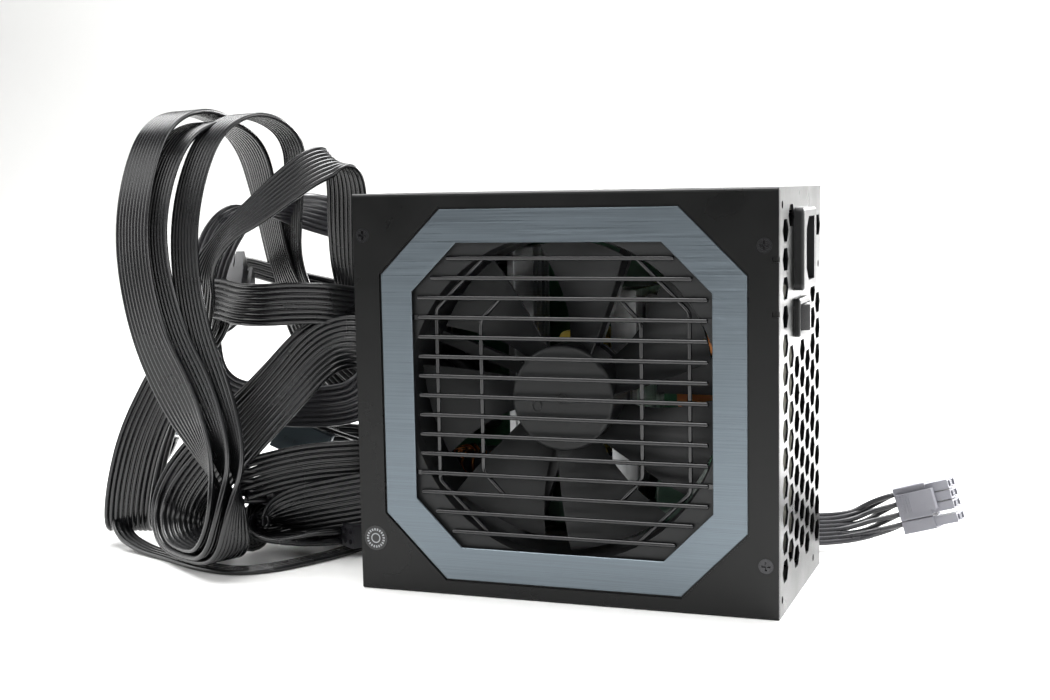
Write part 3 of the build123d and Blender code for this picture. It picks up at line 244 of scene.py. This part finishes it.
def coat_nodes():
    """Every CAD node gets its finish by material slot, and the plugs have finishes of their own; the rear
    cable's plug gets a lighter copy with painted light.
    """
    finishes = {
        "black_sheet": painted("black_sheet", (0.0040, 0.0042, 0.0042), 0.30, grain=2600, bump=0.10,
                               vary=0.10, specular=0.25),
        "brushed_trim": brushed("brushed_trim", (0.145, 0.172, 0.194), 0.34, (0.25, 1, 45), 0.14),
        "gloss_wire": painted("gloss_wire", (0.004, 0.004, 0.005), 0.10, grain=700, bump=0.02, specular=0.6),
        "black_screw": painted("black_screw", (0.035, 0.035, 0.037), 0.22, 0.8, grain=3000, bump=0.2),
        "seal_film": ringed("seal_film"),
        "dark_plastic": painted("dark_plastic", (0.010, 0.0105, 0.011), 0.42, grain=2200, bump=0.25,
                                specular=0.35),
        "drive_plastic": painted("drive_plastic", (0.095, 0.125, 0.140), 0.50, grain=2400, bump=0.2),
        "rocker_plastic": painted("rocker_plastic", (0.012, 0.012, 0.013), 0.20, grain=900, bump=0.06,
                                  coat=0.3),
        "steel": brushed("steel", (0.55, 0.56, 0.57), 0.28, (1, 1, 12)),
        "bronze": painted("bronze", (0.45, 0.30, 0.15), 0.40, 1.0, grain=2500),
        "copper": painted("copper", (0.62, 0.24, 0.09), 0.28, 1.0, grain=1800, stretch=(0.2, 4, 0.2),
                          bump=0.5),
        "circuit_board": painted("circuit_board", (0.02, 0.09, 0.04), 0.35, grain=420, bump=0.3, coat=0.3),
        "insulation": painted("insulation", (0.60, 0.59, 0.52), 0.45, grain=800),
        "aluminium": brushed("aluminium", (0.62, 0.63, 0.64), 0.32, (1, 6, 0.3)),
        "ferrite": painted("ferrite", (0.035, 0.035, 0.037), 0.55, grain=1600),
        "coil_tape": painted("coil_tape", (0.72, 0.52, 0.04), 0.30, grain=1200, stretch=(1, 5, 1), bump=0.3),
        "epoxy": painted("epoxy", (0.02, 0.02, 0.02), 0.45, grain=2400),
        "capacitor_sleeve": painted("capacitor_sleeve", (0.07, 0.12, 0.09), 0.25, grain=900, coat=0.3),
        "capacitor_box": painted("capacitor_box", (0.62, 0.44, 0.06), 0.35, grain=1400),
        "wire_sleeve": painted("wire_sleeve", (0.02, 0.02, 0.022), 0.40, grain=1500),
        "loose_cables": painted("loose_cables", (0.02, 0.02, 0.022), 0.40, grain=1500),
    }
    plug_finish = painted("plug_plastic", (0.030, 0.030, 0.034), 0.38, grain=2200, bump=0.2, specular=0.6)
    # Painted light: the rear cable's plug is the same black plastic as the other plugs, painted much lighter
    # to stand in for the light falling on it.
    rear_plug_painted_light = painted("rear_plug_plastic_painted_light", (0.260, 0.260, 0.290), 0.42, grain=2200, bump=0.2,
                               specular=0.6)
    for entry in frame["record"]["subparts"]:
        node = frame["nodes"].get(entry["node"])
        if node is not None:
            finish = finishes[entry["material_slot"]]
            on_a_cable = "plug" in entry["node"] or "latch" in entry["node"]
            if entry["material_slot"] == "dark_plastic" and on_a_cable:
                finish = plug_finish
            # The rear cable's plug parts take the lighter copy, which is painted light.
            if "rear_cable_" in entry["node"]:
                finish = rear_plug_painted_light
            for slot in node.material_slots:
                slot.material = finish


# ---------------------------------------------------------------- cables

RIB_PITCH, RIB_R, PIN_PITCH = 2.2, 1.10, 4.2  # mm
SIDES = 10  # of a core's tube
CURVE_STEPS = 10  # points of the smooth curve for each point of a route
BESIDE = 10  # how far off the centre line the curve runs that gives the flat side, in mm
LOOSENESS = 0.9  # how far a single wire strays before its plug, in mm
STRAY_BY_CORE, STRAY_BY_STEP = 2.4, 0.09  # how its straying turns from core to core and along it, in radians
WEB = 0.45  # half the thickness of the film that joins the cores, in mm
WEB_CORNERS = ((-1, -1), (1, -1), (1, 1), (-1, 1))
WEB_ENDS_AT = 0.02  # how far the cores have parted where the film ends, from 0 to 1

# Each point of a cable's route: x, y, z in mm, then where its flat side runs: heading and slope in degrees.
ATX_FRONT = [
    (-82, 3, 89, 0, -90), (-93, 3, 87, 0, -90), (-104, 0, 91, 0, -82), (-115, -6, 87, -30, -60),
    (-129, -14, 69, -30, -50), (-147, -19, 50, -20, -50), (-164, -17, 34, 0, -40), (-176, -15, 19, 40, -20),
    (-172, -21, 9.5, 62, 0), (-156, -32, 8.4, 62, 0), (-144, -41, 12, 66, 0), (-141, -43, 27, 95, 0),
    (-148, -40, 46, 140, 5), (-163, -36, 68, 165, 8), (-180, -32, 95, 160, 0), (-188, -29, 130, 158, 0),
    (-186, -25, 158, 158, 0), (-181, -16, 181, 156, 0), (-176, 8, 187, 152, 0), (-168, 32, 176, 146, 0),
    (-167, 45, 145, 142, 0), (-162, 48, 114, 142, 0), (-152, 53, 88, 160, -40), (-137, 56, 66, 180, -75),
    (-118, 56, 57, 180, -86), (-98, 52, 52, 180, -88), (-88, 40, 42, 180, -90), (-88, 24, 33, 180, -88),
    (-98, 11, 27, 180, -84), (-114, 6, 23, 180, -76), (-131, 3, 19, 180, -60), (-147, 3, 16, 170, -40),
    (-155, 2, 12, 155, -15), (-152, 2, 8.8, 147, 0), (-144.5, 8, 8.6, 147, 0), (-137, 18, 8.6, 147, 0),
]
ATX_MIDDLE = [
    (-82, 5.5, 90, 0, -90), (-94, 5.5, 88, 0, -90), (-106, 3, 93, 0, -82), (-119, -4, 88, -30, -60),
    (-133, -12, 71, -30, -50), (-152, -16, 52, -20, -50), (-171, -14, 35, 0, -40), (-181, -13, 18, 40, -20),
    (-176, -19, 7.0, 62, 0), (-157, -31.5, 6.0, 62, 0), (-140, -43, 9, 66, 0), (-137, -44, 27, 95, 0),
    (-141, -39, 46, 140, 5), (-156, -33, 69, 165, 8), (-173, -28, 96, 160, 0), (-182, -25, 130, 158, 0),
    (-180, -21, 156, 158, 0), (-174, -12, 176, 156, 0), (-168, 9, 182, 152, 0), (-162, 29, 172, 146, 0),
    (-163, 41, 145, 142, 0), (-159, 44, 116, 142, 0), (-148, 49, 90, 160, -40), (-132, 52.5, 68, 180, -75),
    (-114, 52, 59, 180, -86), (-95, 48, 51, 180, -88), (-85.5, 36, 40, 180, -90), (-85.5, 20, 31, 180, -88),
    (-97, 7, 25, 180, -84), (-114, 2, 22, 180, -74), (-130, -3, 19, 180, -54), (-143, -8, 15.5, 165, -25),
    (-147, -13, 11.5, 150, -5), (-139, -14, 9.2, 147, 0), (-126, -5, 8.6, 147, 0),
    (-115.6, 4.6, 8.6, 147, 0),
]
PROCESSOR = [
    (-82, 8, 91, 0, -90), (-95, 8, 91, 0, -90), (-107, 6, 98, 0, -82), (-121, -2, 90, -30, -60),
    (-137, -9, 72, -30, -50), (-156, -13, 54, -20, -50), (-176, -11, 38, 0, -40), (-186, -12, 19, 40, -20),
    (-180, -18, 5, 62, 0), (-158, -31, 3.6, 62, 0), (-137, -44, 7, 66, 0), (-133, -46, 26, 95, 0),
    (-135, -38, 46, 140, 5), (-149, -30, 70, 165, 8), (-163, -24, 98, 160, 0), (-169, -20, 130, 158, 0),
    (-166, -17, 156, 158, 0), (-159, -10, 178, 156, 0), (-148, 6, 185, 152, 0), (-140, 26, 174, 146, 0),
    (-148, 36, 147, 142, 0), (-152, 40, 117, 142, 0), (-143, 46, 92, 160, -30), (-128, 49.5, 74, 180, -70),
    (-110, 48, 64, 180, -84), (-94, 43, 53, 180, -88), (-87, 31, 44, 180, -90), (-90, 16, 40, 180, -88),
    (-104, 7, 39.5, 180, -85), (-122, -1, 39, 180, -84), (-138, -10, 36, 180, -88),
    (-150, -16, 32, 180, -90), (-151, -16, 30.5, 180, -90), (-147, -13, 30.3, 180, -90),
    (-141.5, -6.8, 30, 180, -90),
]
GRAPHICS = [
    (-82, 11, 90, -90, 90), (-91, 12, 90, -90, 80), (-100, 12, 92, -90, 40), (-107, 11, 99, -50, 0),
    (-109, 10, 116, -20, 0), (-108, 8, 138, -10, 0), (-106.5, 6, 155, -10, -8), (-107.5, 1, 164, -14, -24),
    (-115, -5, 162, -34, -38), (-126, -9, 154, -44, -42), (-138, -13, 144, -50, -34),
    (-149, -17, 136, -50, -16), (-160, -17, 123, -38, 4), (-168, -10, 107, -25, 8), (-177, -5, 90, -10, 0),
    (-190, -6, 70, 4, 0), (-201, -9, 48, 12, 0), (-207, -10, 27, 16, 0), (-210, -9, 12, 16, 0),
    (-212, -4, 5.5, 16, 0), (-213, 2, 6.5, 16, 0), (-214, 6, 16, 14, 0), (-210, 12, 40, -5, 0),
    (-198, 15, 66, -20, 0), (-184, 16, 82, -40, 0), (-172, 14, 92, -62, 10), (-169.5, 18.5, 101.5, -70, 40),
]
SPARE_GRAPHICS = [
    (-82, 13.4, 90, 0, 90), (-92, 14, 94, 0, 90), (-101, 6, 103, 0, 80), (-113, -5, 106, -10, 70),
    (-126, -9, 106, -10, 65), (-142, -8, 105, -10, 65), (-156, -2, 105, -10, 62), (-170, 6, 107, -20, 40),
    (-181, 12, 105, -40, 10), (-184.5, 14.5, 97, -45, 0), (-186, 16, 89, -45, 0),
]
REAR = [
    (-82, 15.8, 90, -90, 90), (-92, 18, 88, -90, 50), (-100, 20, 76, -40, 60), (-109, 18, 63, 0, 85),
    (-124, 15, 60, 0, 88), (-150, 12, 60, 0, 88), (-175, 14, 64, 0, 70), (-186, 18, 84, 0, 40),
    (-180, 15, 119, 0, 10), (-165, 12, 141, 0, 0), (-150, 26, 146, 10, 20), (-142, 44, 142, 20, 50),
    (-128, 52, 137, 10, 70), (-110, 53, 130, 0, 85), (-92, 52, 127, 0, 88), (-70, 50, 108, 0, 88),
    (-40, 49.5, 84, 0, 88), (-10, 49.5, 58, 0, 84), (18, 50.5, 34, 0, 84), (44, 54, 17, 110, 80),
    (68, 64, 8.0, 118, 38), (88, 75, 8.0, 120, 30), (99, 80, 12.4, 135, 50), (107, 80.6, 15.8, 165, 70),
]
DRIVE = [
    (-82, 18.6, 98, 0, 90), (-98, 24, 104, 0, 90), (-122, 46, 106, 0, 90), (-160, 53, 112, 0, 90),
    (-188, 51, 120, 0, 90), (-208, 44, 112, 0, 70), (-212, 42, 86, 0, 40), (-202, 45, 60, 0, 50),
    (-178, 50, 46, 0, 80), (-145, 46, 44, 0, 90), (-112, 43, 44, 0, 90), (-96, 37, 42, 0, 90),
    (-100, 33, 38, -30, 70), (-114, 36, 40, -60, 30), (-128, 37.4, 45, -70, 6),
    (-141.4, 33.4, 50.3, -70, 6), (-149, 31, 53.5, -70, 6),
]
REAR_DRIVE = [
    (-82, 18.6, 82, 0, 90), (-91, 20, 78, 0, 60), (-98, 24, 56, 0, 20), (-101, 26, 24, 0, 0),
    (-104, 20, 4, -10, 0), (-110, 8, 1.2, -25, 0), (-120, -18, 1.2, -40, 0), (-134, -39, 1.2, -60, 0),
    (-156, -36, 1.2, -85, 0), (-176, -25, 1.2, -110, 0), (-196, -17, 1.4, -110, 0), (-211, -11, 6, -110, 0),
    (-218, -2, 15, -90, 0), (-212, 12, 26, -75, 0), (-204.5, 20, 36, -65, 0), (-203.1, 21.8, 43, -65, 0),
]


def points_of_curve(name, points):
    """The points that a smooth curve through these control points follows."""
    data = bpy.data.curves.new(name, "CURVE")
    data.dimensions = "3D"
    spline = data.splines.new("NURBS")
    spline.points.add(len(points) - 1)
    for point, place in zip(spline.points, points):
        point.co = (*place, 1)
    spline.order_u = 3
    spline.use_endpoint_u = True
    spline.resolution_u = CURVE_STEPS
    curve = bpy.data.objects.new(name, data)
    bpy.context.scene.collection.objects.link(curve)
    mesh = bpy.data.meshes.new_from_object(curve)
    places = [vertex.co.copy() for vertex in mesh.vertices]
    bpy.data.meshes.remove(mesh)
    bpy.data.objects.remove(curve)
    bpy.data.curves.remove(data)
    return places


def flat_direction(heading, slope):
    h, s = math.radians(heading), math.radians(slope)
    return Vector((math.cos(h) * math.cos(s), math.sin(h) * math.cos(s), math.sin(s)))


def core_offset(index, cores, rows):
    """Where a core sits in its plug, in mm: across the columns, and up or down a row."""
    columns = cores / rows
    return ((index // rows) - (columns - 1) / 2) * PIN_PITCH, ((index % rows) - (rows - 1) / 2) * PIN_PITCH


def core_centre(core, cores, rows, parted, index):
    """A core's place across and over the cable, in mm: beside the others, then apart towards its plug."""
    flat = (core - (cores - 1) / 2) * RIB_PITCH
    column, row = core_offset(core, cores, rows)
    stray = math.sin(core * STRAY_BY_CORE + index * STRAY_BY_STEP)
    loose = LOOSENESS * stray * parted * (1 - parted) * 4
    return flat + (column - flat) * parted, row * parted + loose


def skin_tube(build, rings):
    """The closed skin of one tube through its rings."""
    count = len(rings[0])
    for low, high in zip(rings, rings[1:]):
        for k in range(count):
            build.faces.new((low[k], low[(k + 1) % count], high[(k + 1) % count], high[k])).smooth = True
    build.faces.new(rings[-1])
    build.faces.new(tuple(reversed(rings[0])))


def cable(name, cores, route, plugs, rows=2, split=26.0, skin=None, stands_for=()):
    """A flat cable of joined round cores, which part into single wires a little before their plug."""
    line = points_of_curve(name, [Vector(point[:3]) * MM for point in route])
    shifted = [Vector(point[:3]) + BESIDE * flat_direction(*point[3:]) for point in route]
    beside = points_of_curve(name, [place * MM for place in shifted])
    length = [0.0]
    for a, b in zip(line, line[1:]):
        length.append(length[-1] + (b - a).length)
    total = length[-1]
    circle = [(math.cos(a), math.sin(a)) for a in (2 * math.pi * k / SIDES for k in range(SIDES))]
    build = bmesh.new()
    rings, web = [[] for _ in range(cores)], []
    for index, (place, other) in enumerate(zip(line, beside)):
        ahead = (line[min(index + 1, len(line) - 1)] - line[max(index - 1, 0)]).normalized()
        across = other - place
        across = (across - ahead * across.dot(ahead)).normalized()
        over = ahead.cross(across)
        parted = max(0.0, 1 - (total - length[index]) / (split * MM)) if plugs else 0.0
        parted = parted * parted * (3 - 2 * parted)
        for core in range(cores):
            aside, up = core_centre(core, cores, rows, parted, index)
            centre = place + across * aside * MM + over * up * MM
            ring = [centre + (across * c + over * s) * RIB_R * MM for c, s in circle]
            rings[core].append([build.verts.new(corner) for corner in ring])
        if parted < WEB_ENDS_AT:
            side = across * (cores - 1) / 2 * RIB_PITCH * MM
            web.append([build.verts.new(place + side * a + over * WEB * b * MM) for a, b in WEB_CORNERS])
    for tube in rings + [web]:
        skin_tube(build, tube)
    bmesh.ops.recalc_face_normals(build, faces=build.faces)
    mesh = bpy.data.meshes.new(name)
    build.to_mesh(mesh)
    build.free()
    piece = bpy.data.objects.new(name, mesh)
    bpy.context.scene.collection.objects.link(piece)
    piece.data.materials.append(skin or CABLE_SKIN)
    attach(piece, "unit")
    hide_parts(*stands_for)
    return piece


def add_cables():
    hank = ("cable_hank",)
    cable("main_cable_front", 10, ATX_FRONT, ["atx_plug"], stands_for=hank)
    cable("main_cable_middle", 10, ATX_MIDDLE, ["atx_plug"], stands_for=hank)
    cable("processor_cable", 8, PROCESSOR, ["eps_plug"], stands_for=hank)
    cable("graphics_cable", 9, GRAPHICS, ["graphics_plug"], stands_for=hank)
    cable("spare_graphics_cable", 8, SPARE_GRAPHICS, ["spare_graphics_plug"], stands_for=hank)
    rear_plugs = ["rear_cable_plug", "rear_cable_extra_plug", "rear_cable_latch"]
    # Its skin is the lighter copy of the cable skin, which is painted light.
    cable("rear_graphics_cable", 8, REAR, rear_plugs, split=30, skin=REAR_SKIN_PAINTED_LIGHT,
          stands_for=hank + ("rear_cable",))
    cable("drive_cable", 4, DRIVE, ["drive_plug"], rows=1, split=1, stands_for=hank)
    cable("rear_drive_cable", 4, REAR_DRIVE, ["rear_drive_plug"], rows=1, split=1,
          stands_for=hank + ("floor_ribbon",))


CABLE_SKIN = painted("cable_skin", (0.0050, 0.0053, 0.0060), 0.26, grain=1800, bump=0.01, vary=0.25,
                     specular=0.6)
# Painted light: the rear cable's skin is the same black sleeve as the other cables, painted lighter to stand
# in for the sheen of light along it.
REAR_SKIN_PAINTED_LIGHT = painted("rear_cable_skin_painted_light", (0.030, 0.030, 0.034), 0.30, grain=1800, bump=0.01, vary=0.25,
                    specular=0.6)

add_camera()
add_floor()
add_lights()
coat_nodes()
add_cables()
